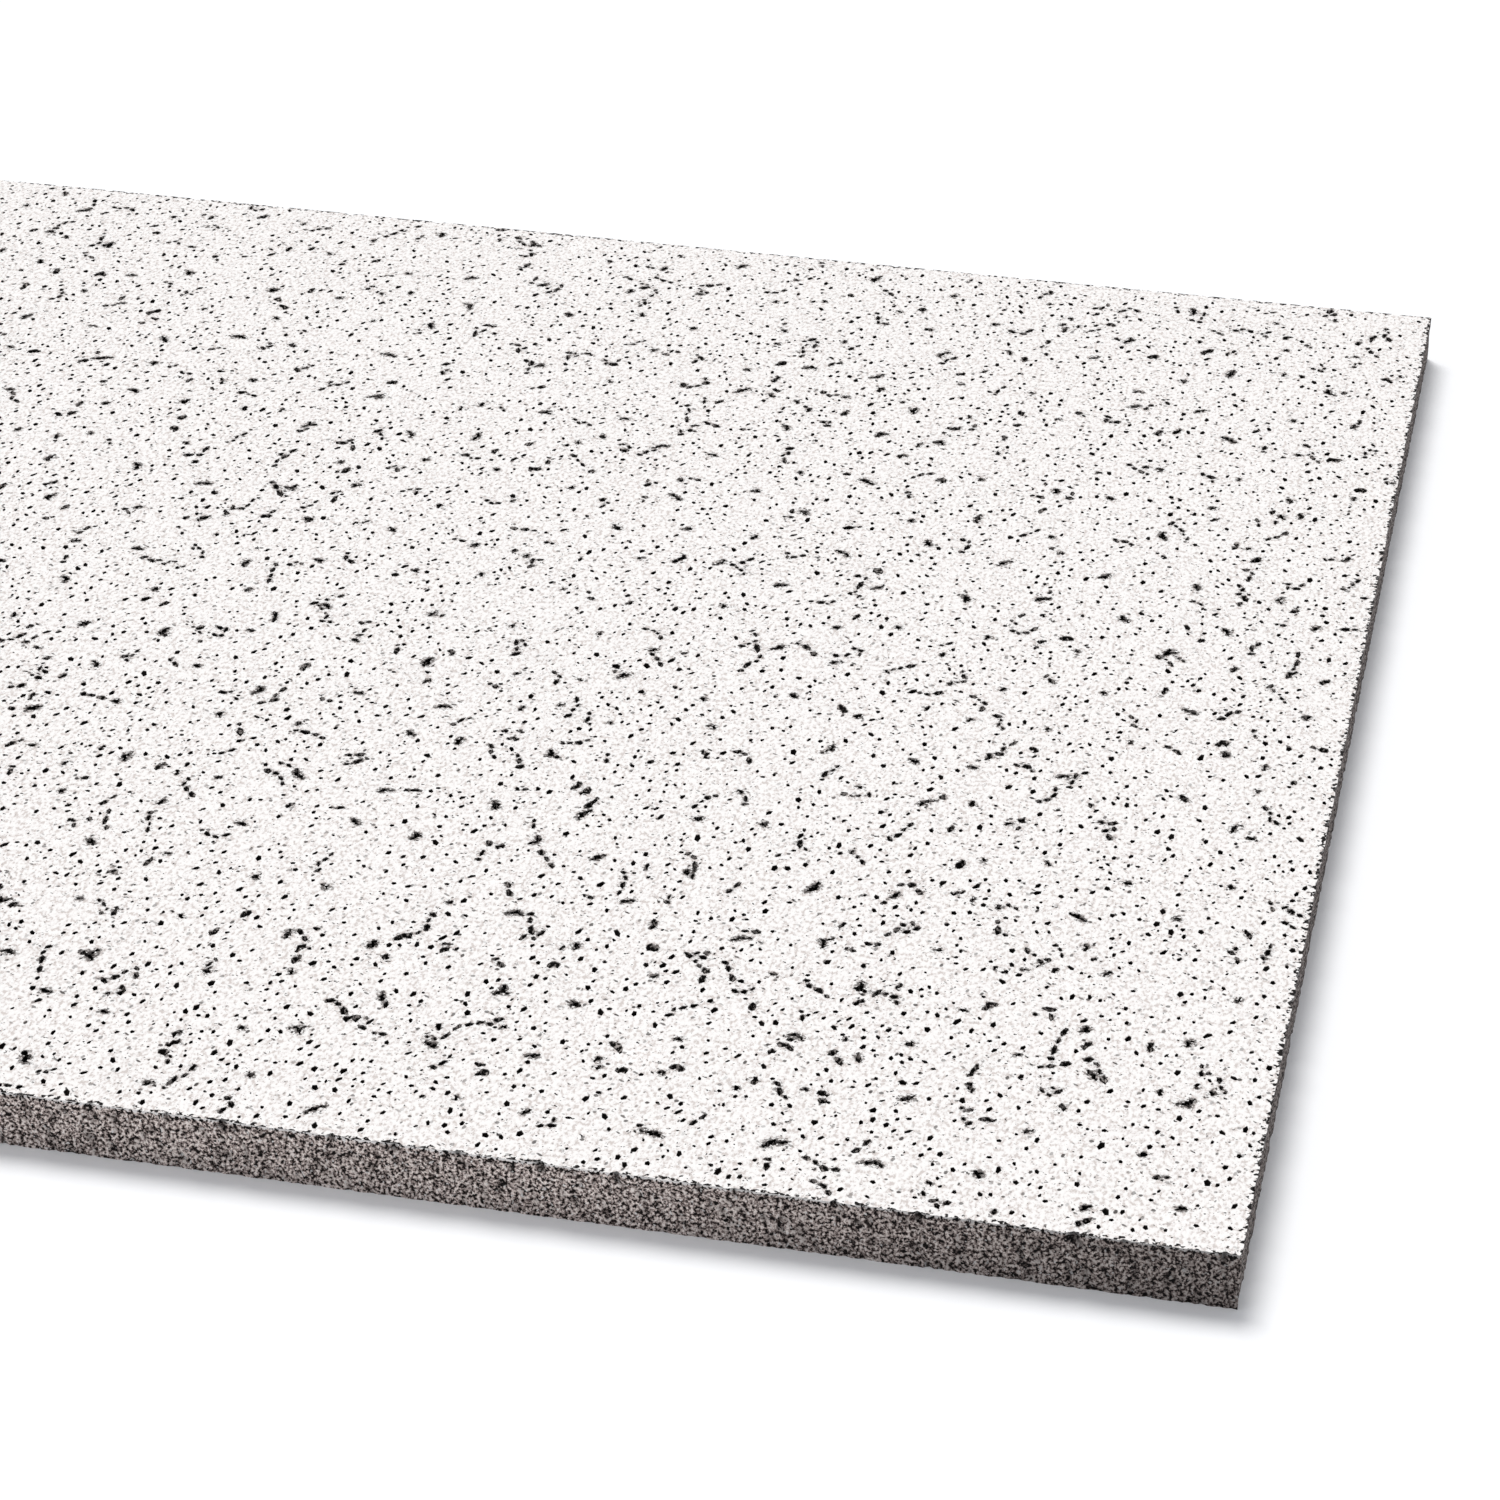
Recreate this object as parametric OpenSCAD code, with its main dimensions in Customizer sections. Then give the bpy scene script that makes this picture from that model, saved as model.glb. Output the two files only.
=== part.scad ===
// Suspended ceiling tile: one square lay-in board of mineral fibre, lying with its painted face up.
// The origin is at the middle of the back, +Z points out of the face and +X runs along a cut edge.

/* [Board] */
// Side of the square board, a 24 in grid module less the play that it drops in with
board_side = 603; // [400:1:610]
// Thickness from the back to the painted face
board_t = 15.9; // [12:0.1:20]
// Strip along the cut edges that holds no whole fissure or pinhole
edge_land = 2.5; // [2:0.5:10]

/* [Fissures] */
// Side of the square cell that holds one fissure
cell = 27; // [20:1:40]
// Length of the longest fissure, tip to tip
fissure_l_max = 8; // [6:0.5:10]
// Length of the shortest fissure
fissure_l_min = 3; // [2.5:0.5:5]
// Width of the widest fissure at its kink
fissure_w_max = 2.8; // [2:0.1:3.2]
// Width of the narrowest fissure at its kink
fissure_w_min = 1.6; // [1:0.1:1.9]
// Depth of the deepest fissure
fissure_depth_max = 4; // [2:0.5:6]
// Depth of the shallowest fissure
fissure_depth_min = 1.5; // [1:0.1:2]
// Greatest turn of a fissure at its kink, in degrees
kink_max = 75; // [20:5:90]
// Greatest lean of a fissure's first leg from the run of the tearing roller along +Y, in degrees
lean_max = 65; // [30:5:90]
// Share of the fissures that fork
share_forks = 0.15; // [0:0.05:0.5]

/* [Pinholes] */
// Diameter of a punched pinhole
pin_d = 1.3; // [0.8:0.1:1.6]
// Depth of a punched pinhole
pin_depth = 6; // [3:0.5:9]
// Pinholes tried in each cell, less those that would meet its fissure
pins_per_cell = 2; // [1:1:3]

/* [Edge nicks] */
// Pits along each edge that the trimming saw cut open
nicks_per_edge = 32; // [8:1:48]
// Diameter of the largest nick
nick_d_max = 2.4; // [1.4:0.1:2.8]
// Diameter of the smallest nick
nick_d_min = 1; // [0.6:0.1:1.2]
// Depth of the deepest nick
nick_depth_max = 3; // [1.5:0.1:5]
// Depth of the shallowest nick
nick_depth_min = 0.8; // [0.4:0.1:1.2]

/* [Pattern] */
// Seed of the scattered pattern
seed = 41; // [1:1:999]

/* [Hidden] */

// How far a cutter stands above the face
overcut = 1;
// Least wall between neighbouring pits
land = 0.6;
// Smoothness of small round pits in a quick view
pit_fn = 16;
// Keeps the seeds of one row of cells apart from those of the next
seed_row = 1000;
// Keeps the seeds of the edge nicks apart from those of the cells
seed_edges = 500000;
// Greatest width of a fissure as a share of its length
slim_max = 0.5;
// Least and greatest share of a fissure's length that its first leg takes
leg_share_min = 0.4;
leg_share_max = 0.6;
// Least share of a fissure's width that it has at its kink
kink_w_share = 0.6;
// A fork's branch: its length and width as shares of the main tear's, and how far it leans from square
branch_l_share = 0.5;
branch_w_share = 0.8;
branch_lean = 20;
// Share of its radius by which a nick's middle lies inside the cut edge
nick_inset = 0.3;

cells = floor((board_side - 2 * edge_land) / cell);
field = cells * cell;
// Random numbers that a tear, a fissure, a pinhole and a nick each take
draws_per_tear = 4;
draws_per_fissure = 8 + 2 * draws_per_tear;
draws_per_pin = 2;
draws_per_nick = 3;

function between(low, high, share) = low + (high - low) * share;

// A run of random numbers out of a longer one
function run(d, first, count) = [for (k = [first : first + count - 1]) d[k]];

// Turn of a tear at its kink
function kink(d) = between(-kink_max, kink_max, d[0]);

// A torn outline: two legs that run out to a point and meet in a kink at the origin, unevenly wide there
module tear(l, w, d) {
    turn = kink(d);
    first_leg = l * between(leg_share_min, leg_share_max, d[1]);
    across = w / 2 * [-sin(turn / 2), cos(turn / 2)];
    polygon([
        [-first_leg, 0],
        -across * between(kink_w_share, 1, d[2]),
        (l - first_leg) * [cos(turn), sin(turn)],
        across * between(kink_w_share, 1, d[3])
    ]);
}

// A forked tear: a tear with a shorter branch that leaves the outside of its kink
module fork(l, w, d, branch_d, lean) {
    branch_l = branch_l_share * l;
    outside = kink(d) / 2 + (kink(d) > 0 ? -90 : 90);
    tear(l, w, d);
    rotate(outside + lean)
        translate([branch_l * leg_share_min, 0]) tear(branch_l, branch_w_share * w, branch_d);
}

// One fissure of its cell, drawn from the cell's random numbers; most are short
module fissure(d, middle) {
    l = between(fissure_l_min, fissure_l_max, d[2] * d[2]);
    w = min(between(fissure_w_min, fissure_w_max, d[3]), slim_max * l);
    depth = between(fissure_depth_min, fissure_depth_max, d[4]);
    tear_d = run(d, draws_per_fissure - 2 * draws_per_tear, draws_per_tear);
    branch_d = run(d, draws_per_fissure - draws_per_tear, draws_per_tear);
    translate([middle.x, middle.y, board_t - depth])
        rotate(90 + between(-lean_max, lean_max, d[5]))
            linear_extrude(depth + overcut)
                if (d[6] < share_forks)
                    fork(l, w, tear_d, branch_d, between(-branch_lean, branch_lean, d[7]));
                else tear(l, w, tear_d);
}

// The pinholes of one cell, each in its own strip of it, where they clear the fissure
module pinholes(d, corner, middle) {
    strip = cell / pins_per_cell;
    room = pin_d / 2 + land;
    keep_out = leg_share_max * fissure_l_max + fissure_w_max / 2 + room;
    for (k = [0 : pins_per_cell - 1]) {
        first = draws_per_fissure + draws_per_pin * k;
        spot = corner + [
            strip * k + between(room, strip - room, d[first]),
            between(room, cell - room, d[first + 1])
        ];
        if (norm(spot - middle) > keep_out)
            translate([spot.x, spot.y, board_t - pin_depth])
                cylinder(d = pin_d, h = pin_depth + overcut, $fn = pit_fn);
    }
}

// The scattered pattern over the whole face, cell by cell, with every other row half a cell along
module pattern() {
    reach = leg_share_max * fissure_l_max + fissure_w_max / 2 + land;
    for (row = [0 : cells - 1], column = [0 : cells - 1 - row % 2]) {
        d = rands(0, 1, draws_per_fissure + draws_per_pin * pins_per_cell, seed + seed_row * row + column);
        corner = [cell * (column + row % 2 / 2) - field / 2, cell * row - field / 2];
        middle = corner + [between(reach, cell - reach, d[0]), between(reach, cell - reach, d[1])];
        fissure(d, middle);
        pinholes(d, corner, middle);
    }
}

// Pits along one edge that the saw opened, at uneven steps
module edge_nicks(edge) {
    step = board_side / nicks_per_edge;
    for (k = [0 : nicks_per_edge - 1]) {
        d = rands(0, 1, draws_per_nick, seed + seed_edges + seed_row * edge + k);
        nick_d = between(nick_d_min, nick_d_max, d[0]);
        depth = between(nick_depth_min, nick_depth_max, d[1]);
        along = step * k + between(nick_d_max, step - nick_d_max, d[2]) - board_side / 2;
        translate([along, nick_inset * nick_d / 2 - board_side / 2, board_t - depth])
            cylinder(d = nick_d, h = depth + overcut, $fn = pit_fn);
    }
}

module ceiling_tile() {
    color("whitesmoke")
    difference() {
        translate([-board_side / 2, -board_side / 2, 0]) cube([board_side, board_side, board_t]);
        pattern();
        for (edge = [0 : 3]) rotate(90 * edge) edge_nicks(edge);
    }
}

ceiling_tile();
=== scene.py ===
import math

import bmesh
import bpy
import numpy as np
from mathutils import Matrix, Vector
from mathutils.geometry import delaunay_2d_cdt


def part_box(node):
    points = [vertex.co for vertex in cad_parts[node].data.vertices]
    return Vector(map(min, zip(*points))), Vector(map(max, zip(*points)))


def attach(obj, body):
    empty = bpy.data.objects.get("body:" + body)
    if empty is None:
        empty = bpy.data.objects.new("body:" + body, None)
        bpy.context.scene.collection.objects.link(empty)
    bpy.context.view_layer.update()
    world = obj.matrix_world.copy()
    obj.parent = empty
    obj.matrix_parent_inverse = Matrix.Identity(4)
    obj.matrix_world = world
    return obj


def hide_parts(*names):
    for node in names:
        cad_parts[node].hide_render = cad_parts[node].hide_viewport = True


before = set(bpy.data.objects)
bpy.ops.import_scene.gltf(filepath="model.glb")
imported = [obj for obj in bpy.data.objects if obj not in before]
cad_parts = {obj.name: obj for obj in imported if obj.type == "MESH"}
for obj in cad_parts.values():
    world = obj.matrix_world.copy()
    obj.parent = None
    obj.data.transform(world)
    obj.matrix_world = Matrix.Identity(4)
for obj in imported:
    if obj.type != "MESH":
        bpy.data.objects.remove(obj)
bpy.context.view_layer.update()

# Cut edges: the four sides of a board of wet-felted mineral fibre, dried hard and sawn to the size of a
# ceiling grid's module. It was painted and punched before it was sawn, so they are bare, granular and torn.
MM = 0.001
TOUCH = 0.001 * MM           # points closer than this are the same point
low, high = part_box("ceiling_tile")
HALF = high.x                # half the side of the square board
FACE_Z = high.z              # height of the painted face above the back
ALONG_CUTS = (19, 19)        # two rounds of cuts give 400 steps along each edge
STEP = 2 * HALF / math.prod(cuts + 1 for cuts in ALONG_CUTS)
UP_CUTS = 7                  # eight rows up the thickness
ROW_CROWDING = 1.6           # the rows crowd towards the arris, where the saw broke out the most
LEVEL_NORMAL = 0.9           # a face with more than this of its normal along Z is level
SAW_GRAIN = 1.7 * MM         # size of the grains that the saw tore out of an edge, and how deep it did
SAW_DEPTH = 2.2 * MM
SAW_LEVEL = 0.56             # level of the tear pattern that stays at the saw's own plane
ARRIS_GRAIN = 4.5 * MM       # the same for the breaks along the arris, and how far down they reach
ARRIS_DEPTH = 1.3 * MM
ARRIS_LEVEL = 0.5
ARRIS_REACH = 2.4 * MM
ARRIS_HOLD = 0.3             # the paint held the arris, so the saw's tears reach it by this share only
TEAR_OCTAVES = 3             # finer and finer layers of a tear pattern
NICK_REACH = 3.0 * MM        # no nick reaches further into the board than this
OFF_EDGE = 10 * TOUCH        # a point of the outline that is further in than this is a nick's
RIM_DECIMALS = 4             # the solid's points are told apart to this part of a millimetre
SLOT_PAINT, SLOT_EDGE, SLOT_BACK, SLOT_PIT = range(4)

bpy.ops.object.select_all(action="DESELECT")
bpy.ops.mesh.primitive_cube_add(size=1, location=(0, 0, FACE_Z / 2), scale=(2 * HALF, 2 * HALF, FACE_Z))
board = bpy.context.object
board.name = "ceiling_tile_board"
bpy.ops.object.transform_apply(location=True, rotation=True, scale=True)


def runs_along(edge):
    """True for an edge that runs along the board and False for one that runs up its thickness."""
    return abs(edge.verts[0].co.z - edge.verts[1].co.z) < TOUCH


def select_edges(wanted):
    shape = bmesh.from_edit_mesh(board.data)
    for face in shape.faces:
        face.select_set(False)
    for edge in shape.edges:
        edge.select_set(wanted(edge))
    bmesh.update_edit_mesh(board.data)


def tear_out(name, size, depth, mid_level, group):
    """Moves the sides in and out by a cloudy pattern of a real size, as far as a vertex group lets it."""
    pattern = bpy.data.textures.new(name, "CLOUDS")
    pattern.noise_scale = size
    pattern.noise_depth = TEAR_OCTAVES
    tearing = board.modifiers.new(name, "DISPLACE")
    tearing.texture = pattern
    tearing.texture_coords = "LOCAL"
    tearing.strength = depth
    tearing.mid_level = mid_level
    tearing.vertex_group = group
    bpy.ops.object.modifier_apply(modifier=name)


bpy.ops.object.mode_set(mode="EDIT")
bpy.ops.mesh.select_mode(type="FACE")
bpy.ops.mesh.select_all(action="DESELECT")
shape = bmesh.from_edit_mesh(board.data)
for face in shape.faces:
    face.select_set(abs(face.normal.z) > LEVEL_NORMAL)
bpy.ops.mesh.delete(type="ONLY_FACE")
bpy.ops.mesh.select_mode(type="EDGE")
for cuts in ALONG_CUTS:
    select_edges(runs_along)
    bpy.ops.mesh.subdivide(number_cuts=cuts)
select_edges(lambda edge: not runs_along(edge))
bpy.ops.mesh.subdivide(number_cuts=UP_CUTS)
bpy.ops.object.mode_set(mode="OBJECT")

arris = board.vertex_groups.new(name="arris")
sawn = board.vertex_groups.new(name="sawn")
for vertex in board.data.vertices:
    vertex.co.z = FACE_Z * (1 - (1 - vertex.co.z / FACE_Z) ** ROW_CROWDING)
    below = min(1.0, (FACE_Z - vertex.co.z) / ARRIS_REACH)
    arris.add([vertex.index], 1 - below, "REPLACE")
    sawn.add([vertex.index], ARRIS_HOLD + (1 - ARRIS_HOLD) * below, "REPLACE")
heights = [v.co.z for v in board.data.vertices]
tear_out("saw_tears", SAW_GRAIN, SAW_DEPTH, SAW_LEVEL, sawn.name)
tear_out("broken_arris", ARRIS_GRAIN, ARRIS_DEPTH, ARRIS_LEVEL, arris.name)
places = np.clip([v.co for v in board.data.vertices], low, high)
places[:, 2] = heights


def solid_rims():
    """Outline and depths of each opening in the solid's face by place, the board's own outline first."""
    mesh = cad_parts["ceiling_tile"].data
    mesh.calc_loop_triangles()
    solid = np.array([v.co for v in mesh.vertices])
    corners = np.array([t.vertices[:] for t in mesh.loop_triangles])
    spots, spot = np.unique(np.round(solid[:, :2] / MM, RIM_DECIMALS), axis=0, return_inverse=True)
    spot = spot.ravel()
    deepest = np.full(len(spots), FACE_Z)
    np.minimum.at(deepest, spot, solid[:, 2])
    on_face = (np.abs(solid[corners, 2] - FACE_Z) < TOUCH).all(1)
    edges = {(a, b) for t in spot[corners[on_face]].tolist() for a, b in zip(t, t[1:] + t[:1])}
    following = {a: b for a, b in edges if (b, a) not in edges}
    found = []
    while following:
        start = min(following)
        rim = [start]
        after = following.pop(start)
        while after not in (start, None):
            rim.append(after)
            after = following.pop(after, None)
        if after == start:
            found.append((spots[rim] * MM, FACE_Z - deepest[rim]))
    return sorted(found, key=lambda rim: (np.ptp(rim[0], axis=0).max() < HALF, *rim[0][0]))


def nicks(outline, depths):
    """Each run of the board's outline that lies inside its square, with its depth."""
    inside = HALF - np.abs(outline).max(1) > OFF_EDGE
    start = int(np.argmin(inside))
    inside, outline, depths = (np.roll(row, -start, 0) for row in (inside, outline, depths))
    changes = np.flatnonzero(np.diff(inside.astype(int)))
    for first, last in zip(changes[::2], changes[1::2]):
        yield outline[first : last + 2], depths[first + 1 : last + 1].max()


board_rim, *pit_rims = solid_rims()
for nick, nick_depth in nicks(*board_rim):
    middle = nick.mean(0)
    across = int(np.argmax(np.abs(middle)))
    along = 1 - across
    sign = math.copysign(1, middle[across])
    order = np.argsort(nick[:, along])
    beside = (places[:, across] * sign > HALF - NICK_REACH) & (places[:, 2] > FACE_Z - nick_depth)
    nearest = beside & (np.abs(places[:, along] - middle[along]) < STEP / 2)
    places[nearest, along] = middle[along]
    bite = np.interp(places[beside, along], nick[order, along], HALF - sign * nick[order, across], 0, 0)
    places[beside, across] = sign * np.minimum(sign * places[beside, across], HALF - bite)
board.data.vertices.foreach_set("co", places.ravel())
for face in board.data.polygons:
    face.material_index = SLOT_EDGE


def linear(colour):
    """A #rrggbb sRGB colour as linear RGBA."""
    parts = [int(colour[k : k + 2], 16) / 255 for k in (1, 3, 5)]
    return [c / 12.92 if c <= 0.04045 else ((c + 0.055) / 1.055) ** 2.4 for c in parts] + [1.0]


def add_node(tree, kind, settings=None, links=None):
    """Adds a node, sets its options and inputs by name or number, and links outputs into its inputs."""
    node = tree.nodes.new(kind)
    settings = settings or {}
    options = [key for key in settings if isinstance(key, str) and hasattr(node, key)]
    for key in options:
        setattr(node, key, settings[key])
    for key in settings.keys() - set(options):
        node.inputs[key].default_value = settings[key]
    for key, socket in (links or {}).items():
        tree.links.new(socket, node.inputs[key])
    return node


def new_material(name, roughness, specular):
    """A material with a plain Principled shader, with its node tree, shader and Object coordinates."""
    material = bpy.data.materials.new(name)
    material.use_nodes = True
    tree = material.node_tree
    shader = tree.nodes["Principled BSDF"]
    shader.inputs["Roughness"].default_value = roughness
    shader.inputs["Specular IOR Level"].default_value = specular
    place = add_node(tree, "ShaderNodeTexCoord").outputs["Object"]
    return material, tree, shader, place


def set_stops(node, *stops):
    """Sets a Color Ramp's stops, each a position and a colour."""
    elements = node.color_ramp.elements
    while len(elements) < len(stops):
        elements.new(position=0.5)
    for element, (position, colour) in zip(elements, stops):
        element.position = position
        element.color = linear(colour)


def outwards(tree, place):
    """How far a point lies from the middle of the board towards its nearest edge."""
    away = add_node(tree, "ShaderNodeVectorMath", {"operation": "ABSOLUTE"}, {0: place})
    parts = add_node(tree, "ShaderNodeSeparateXYZ", links={"Vector": away.outputs["Vector"]})
    farthest = add_node(
        tree, "ShaderNodeMath", {"operation": "MAXIMUM"}, {0: parts.outputs["X"], 1: parts.outputs["Y"]})
    return farthest.outputs["Value"]


# Bare mineral fibre where the saw passed: grains of slag wool, clay and pulp, from near black to pale
# grey-brown, with deep dark breaks and flakes of paint along the arris. Its dark is partly painted shade: the
# near-black grains lie in the low spots of the grain's own bump, the breaks are drawn near black for the
# shade in their notches, the hollows below the saw's plane are darkened, and the whole edge darkens towards
# the +X end, the side in shade.
# the near-black stop is partly dark fibre and partly painted shade, at the low spots of the grain's own bump
FIBRE_STOPS = (
    (0.4, "#130f0e"), (0.46, "#766863"), (0.52, "#bbaca6"), (0.575, "#e4d5cd"), (0.63, "#fff4ed"))
FIBRE_GRAIN = 0.9 * MM
FIBRE_RELIEF = 0.5 * MM
BREAK = 1.1 * MM
BREAK_REACH = 2.4 * MM       # how far the breaks crowd down from the arris, and by how much
BREAK_CROWDING = 0.13
BREAK_BAND = (0.38, 0.34)    # levels of the pattern at which a break begins and is full
# painted shade: the breaks are drawn near black, the bare fibre of each notch with the shade that falls in it
BREAK_SHADE_COLOUR = "#0e0c0b"
FLAKE_REACH = 1.0 * MM       # the same for the flakes of paint, which are the other end of the pattern
FLAKE_CROWDING = 0.3
FLAKE_BAND = (0.64, 0.68)
FLAKE_COLOUR = "#efebe8"
# Painted shade: the cut edges' colour darkens towards the +X end, the side that stands in shade.
RIGHT_SHADE_FROM = 140 * MM         # the fibre darkens from here to the +X end
RIGHT_SHADE_TONES = (1.06, 0.44)
# Painted shade: the fibre darkens in the hollows below the saw's plane.
HOLLOW_SHADE_DEPTHS = (0.8 * MM, 0.1 * MM)     # below the saw's plane, where a hollow is darkest and not yet dark
HOLLOW_SHADE_TONE = 0.22
MIX_SHARE, MIX_UNDER, MIX_OVER, MIX_RESULT = 0, 6, 7, 2     # a Mix node's sockets that hold colours
sawn_fibre, tree, shader, place = new_material("sawn_mineral_fibre", roughness=0.95, specular=0.2)
fibre_grain = add_node(
    tree, "ShaderNodeTexNoise", {"Scale": 1 / FIBRE_GRAIN, "Detail": 2.0, "Roughness": 0.6},
    {"Vector": place})
fibre_tone_and_shade = add_node(tree, "ShaderNodeValToRGB", links={"Fac": fibre_grain.outputs["Fac"]})
set_stops(fibre_tone_and_shade, *FIBRE_STOPS)
edge_place = add_node(tree, "ShaderNodeSeparateXYZ", links={"Vector": place})
breaks = add_node(tree, "ShaderNodeTexNoise", {"Scale": 1 / BREAK, "Detail": 2.0}, {"Vector": place})
under_arris = add_node(
    tree, "ShaderNodeMapRange",
    {"From Min": FACE_Z - BREAK_REACH, "From Max": FACE_Z, "To Max": BREAK_CROWDING},
    {"Value": edge_place.outputs["Z"]})
lowered = add_node(
    tree, "ShaderNodeMath", {"operation": "SUBTRACT"},
    {0: breaks.outputs["Fac"], 1: under_arris.outputs["Result"]})
# painted shade in the notches below the arris, partly bare fibre
broken = add_node(
    tree, "ShaderNodeMapRange", {"From Min": BREAK_BAND[0], "From Max": BREAK_BAND[1]},
    {"Value": lowered.outputs["Value"]})
with_break_shade = add_node(
    tree, "ShaderNodeMix", {"data_type": "RGBA", MIX_OVER: linear(BREAK_SHADE_COLOUR)},
    {MIX_SHARE: broken.outputs["Result"], MIX_UNDER: fibre_tone_and_shade.outputs["Color"]})
under_paint = add_node(
    tree, "ShaderNodeMapRange",
    {"From Min": FACE_Z - FLAKE_REACH, "From Max": FACE_Z, "To Max": FLAKE_CROWDING},
    {"Value": edge_place.outputs["Z"]})
raised = add_node(
    tree, "ShaderNodeMath", {"operation": "ADD"},
    {0: breaks.outputs["Fac"], 1: under_paint.outputs["Result"]})
flaked = add_node(
    tree, "ShaderNodeMapRange", {"From Min": FLAKE_BAND[0], "From Max": FLAKE_BAND[1]},
    {"Value": raised.outputs["Value"]})
with_flakes = add_node(
    tree, "ShaderNodeMix", {"data_type": "RGBA", MIX_OVER: linear(FLAKE_COLOUR)},
    {MIX_SHARE: flaked.outputs["Result"], MIX_UNDER: with_break_shade.outputs[MIX_RESULT]})
# painted shade, darker towards the +X end
right_shade = add_node(
    tree, "ShaderNodeMapRange",
    {"From Min": RIGHT_SHADE_FROM, "From Max": HALF, "To Min": RIGHT_SHADE_TONES[0], "To Max": RIGHT_SHADE_TONES[1]},
    {"Value": edge_place.outputs["X"]})
# painted shade in the hollows, darker the deeper they lie
hollow_shade = add_node(
    tree, "ShaderNodeMapRange",
    {"From Min": HALF - HOLLOW_SHADE_DEPTHS[0], "From Max": HALF - HOLLOW_SHADE_DEPTHS[1], "To Min": HOLLOW_SHADE_TONE},
    {"Value": outwards(tree, place)})
shade = add_node(
    tree, "ShaderNodeMath", {"operation": "MULTIPLY"},
    {0: right_shade.outputs["Result"], 1: hollow_shade.outputs["Result"]})
shaded = add_node(
    tree, "ShaderNodeVectorMath", {"operation": "SCALE"},
    {0: with_flakes.outputs[MIX_RESULT], "Scale": shade.outputs["Value"]})
tree.links.new(shaded.outputs["Vector"], shader.inputs["Base Color"])
fibre_bump = add_node(
    tree, "ShaderNodeBump", {"Strength": 0.7, "Distance": FIBRE_RELIEF},
    {"Height": fibre_grain.outputs["Fac"]})
tree.links.new(fibre_bump.outputs["Normal"], shader.inputs["Normal"])

# Back: the unpainted underside of the board, pressed flat on the felting wire and left as it dried.
# It is paler and smoother than the cut edges, with a mottled felt of pulp and slag wool.


def on_back(edge):
    return all(abs(v.co.z) < TOUCH for v in edge.verts)


bpy.ops.object.mode_set(mode="EDIT")
select_edges(on_back)
bpy.ops.mesh.edge_face_add()
bpy.ops.mesh.select_all(action="SELECT")
bpy.ops.mesh.normals_make_consistent(inside=False)
bpy.ops.object.mode_set(mode="OBJECT")
for face in board.data.polygons:
    if face.normal.z < -LEVEL_NORMAL:
        face.material_index = SLOT_BACK

# Felted fibre as it left the wire: dull grey-brown tufts that shade softly into one another.
FELT_STOPS = ((0.3, "#8d857c"), (0.65, "#b3aaa0"))
FELT = 2.0 * MM
FELT_RELIEF = 0.3 * MM
felted_fibre, tree, shader, place = new_material("felted_mineral_fibre_back", roughness=0.95, specular=0.2)
felt = add_node(
    tree, "ShaderNodeTexNoise", {"Scale": 1 / FELT, "Detail": 5.0, "Roughness": 0.7}, {"Vector": place})
felt_tone = add_node(tree, "ShaderNodeValToRGB", links={"Fac": felt.outputs["Fac"]})
set_stops(felt_tone, *FELT_STOPS)
tree.links.new(felt_tone.outputs["Color"], shader.inputs["Base Color"])
felt_bump = add_node(
    tree, "ShaderNodeBump", {"Strength": 0.5, "Distance": FELT_RELIEF}, {"Height": felt.outputs["Fac"]})
tree.links.new(felt_bump.outputs["Normal"], shader.inputs["Normal"])

# Fissures and pinholes: pits that a tearing roller and punching pins left in the face, with ragged rims.
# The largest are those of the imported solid, and finer ones, too many for it, are scattered between them.
SEED = 7
PIN_WIDTH = 1.6 * MM         # a rim of the solid that is narrower than this is a pinhole
PIN_SIDES = 5
PIN_GROWTH = 1.15            # keeps the round hole's area on a rim of so few sides
RIM_STEP = 0.65 * MM         # spacing of the points along a ragged rim
RAGGED = (-0.7 * MM, 0.3 * MM)           # how far a point of a torn rim strays in, or out if below 0
RAGGED_PIN = (-0.2 * MM, 0.1 * MM)
STRAY_MAX = 0.6              # the most that it strays in, as a share of the pit's half width
WALL_SLOPE = 0.55            # how far a wall leans in, as a share of the pit's half width
WIDTH_MAX = 2.0 * MM         # no pit counts as having a greater half width than this
GAP = 0.12 * MM              # least wall between two pits
EDGE_GAP = 0.6 * MM          # least wall between a finer pit and the cut edge
DISC_STEP = 0.7 * MM         # spacing of the discs that stand for a pit when its neighbours are sought
CELL = 3.0 * MM              # cell of the grid that finds them
rng = np.random.default_rng(SEED)
points = []                  # all points of the face and its pits
walls = []                   # the pits' walls and floors, as numbers of points
rims = []                    # the points of each rim, with the board's outline first
rim_of = []                  # the rim that each point is on, or -1 for a foot
torn = []                    # 1 for each point of a tear, and 0 for one of a pinhole or the outline
taken = {}                   # the discs of all that is sunk, by cell


def turn(a, b, c):
    """Twice the signed area of a triangle, which is above 0 where it runs anticlockwise."""
    along = b - a
    across = c - a
    return along[..., 0] * across[..., 1] - along[..., 1] * across[..., 0]


def anticlockwise(outline):
    x, y = outline.T
    return outline if (x * np.roll(y, -1) - np.roll(x, -1) * y).sum() > 0 else outline[::-1]


def inward(outline):
    """Unit normals of an anticlockwise outline that point into it."""
    along = np.roll(outline, -1, 0) - np.roll(outline, 1, 0)
    normals = np.c_[-along[:, 1], along[:, 0]]
    return normals / np.maximum(np.linalg.norm(normals, axis=1, keepdims=True), TOUCH)


def half_width(outline, normals):
    """For each point, the radius of the largest disc that touches the outline there from inside."""
    way = outline[None] - outline[:, None]
    across = (way * normals[:, None]).sum(2)
    squared = (way ** 2).sum(2)
    radius = np.where(across > TOUCH, squared / np.maximum(2 * across, TOUCH), np.inf)
    return np.minimum(radius.min(1), WIDTH_MAX)


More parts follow.
